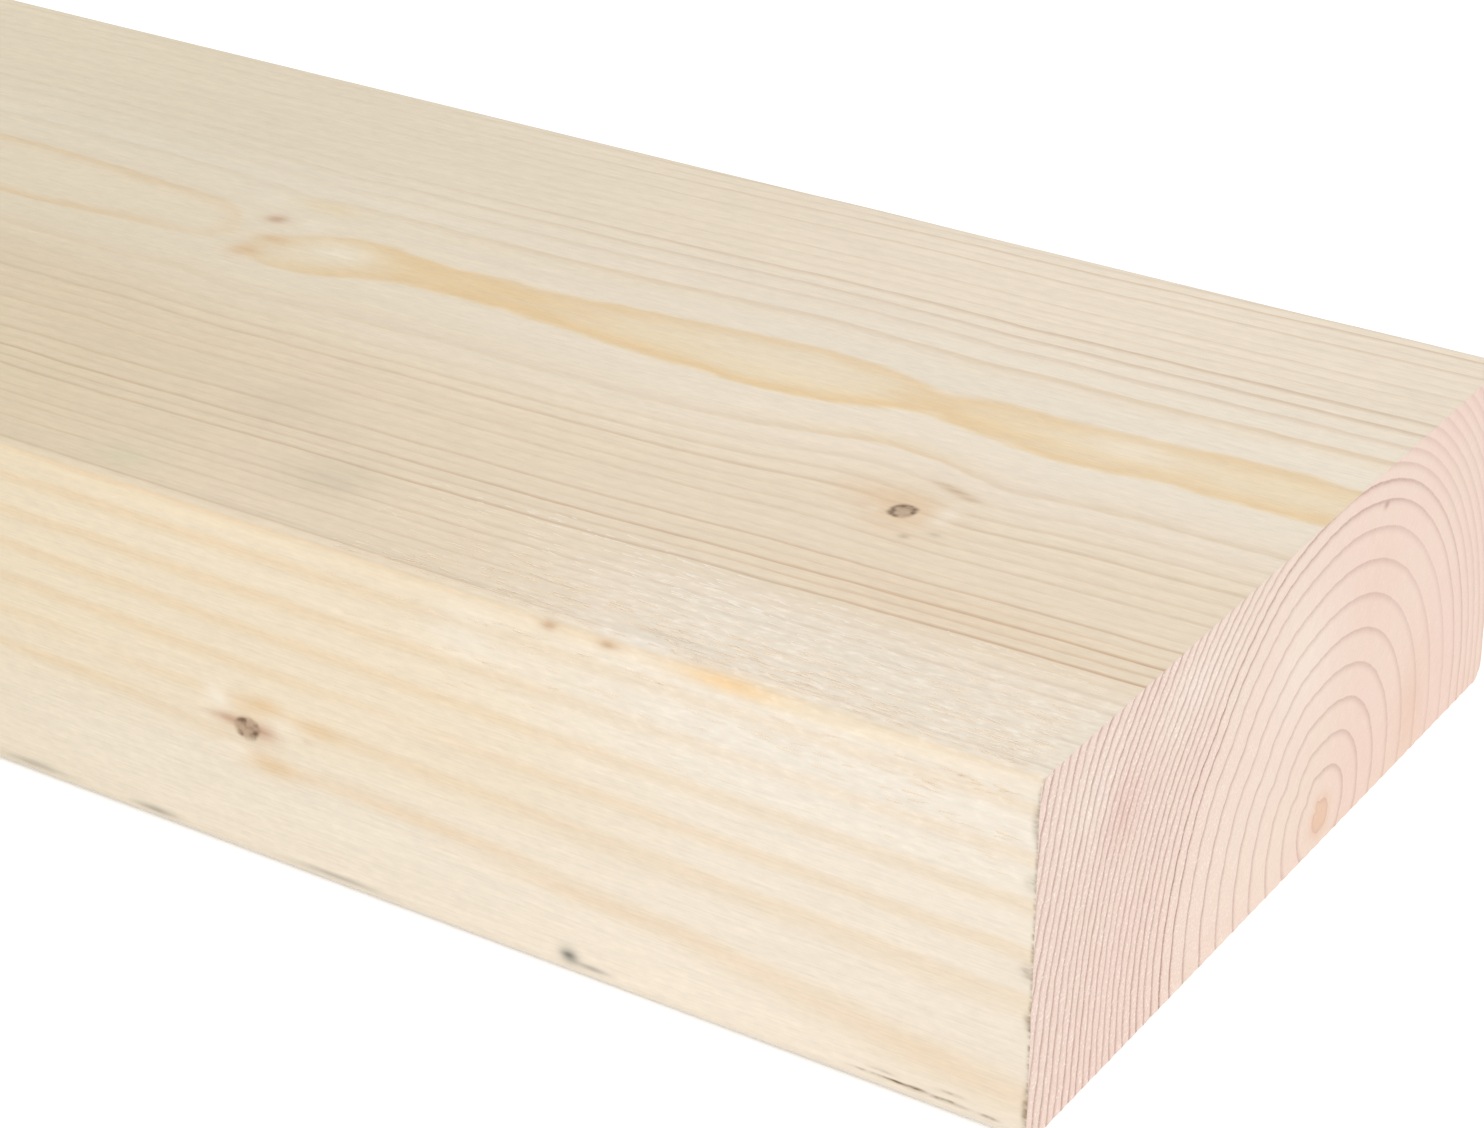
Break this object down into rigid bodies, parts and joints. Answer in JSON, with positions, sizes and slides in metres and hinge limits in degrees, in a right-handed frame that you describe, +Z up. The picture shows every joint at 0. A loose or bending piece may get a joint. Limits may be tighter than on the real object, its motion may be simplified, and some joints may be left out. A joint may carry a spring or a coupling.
{
  "type": "timber plank",
  "caption": "Planed softwood plank of rectangular section with eased long edges and square-sawn ends, for framing, joists and general carpentry.",
  "frame": {"origin": "under the middle of the plank, on the wide face that it rests on", "axes": "+X along the grain towards the cut end that the picture shows, +Y across the width to the far side face, +Z up through the thickness"},
  "size_m": [2.4, 0.12, 0.045],
  "materials": {
    "planed_whitewood": "planed, unfinished"
  },
  "bodies": {
    "root": {"plank": "planed_whitewood"}
  },
  "joints": []
}
